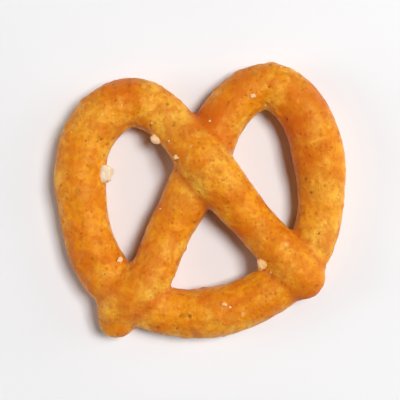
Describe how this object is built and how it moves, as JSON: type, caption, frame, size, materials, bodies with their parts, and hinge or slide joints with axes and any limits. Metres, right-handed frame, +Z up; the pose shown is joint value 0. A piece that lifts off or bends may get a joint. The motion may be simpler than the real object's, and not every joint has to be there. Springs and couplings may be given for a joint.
{
  "type": "mini pretzel",
  "caption": "Small hard-baked pretzel: a thin rope of dough in the classic knot, arms fused to the base, golden brown crust with a few coarse salt grains.",
  "frame": {"origin": "bottom centre of the box, on the surface that the pretzel lies on", "axes": "+Z up out of the face of the knot; +X across the face, the widest way; +Y from the base towards the two lobes"},
  "size_m": [0.038, 0.036, 0.0078],
  "materials": {
    "crust": "hard-baked crust with a satin egg-and-lye skin, golden brown with deeper brown patches, fine pores and blisters, and a few cream-white salt grains"
  },
  "bodies": {
    "root": {"pretzel": "crust"}
  },
  "joints": []
}
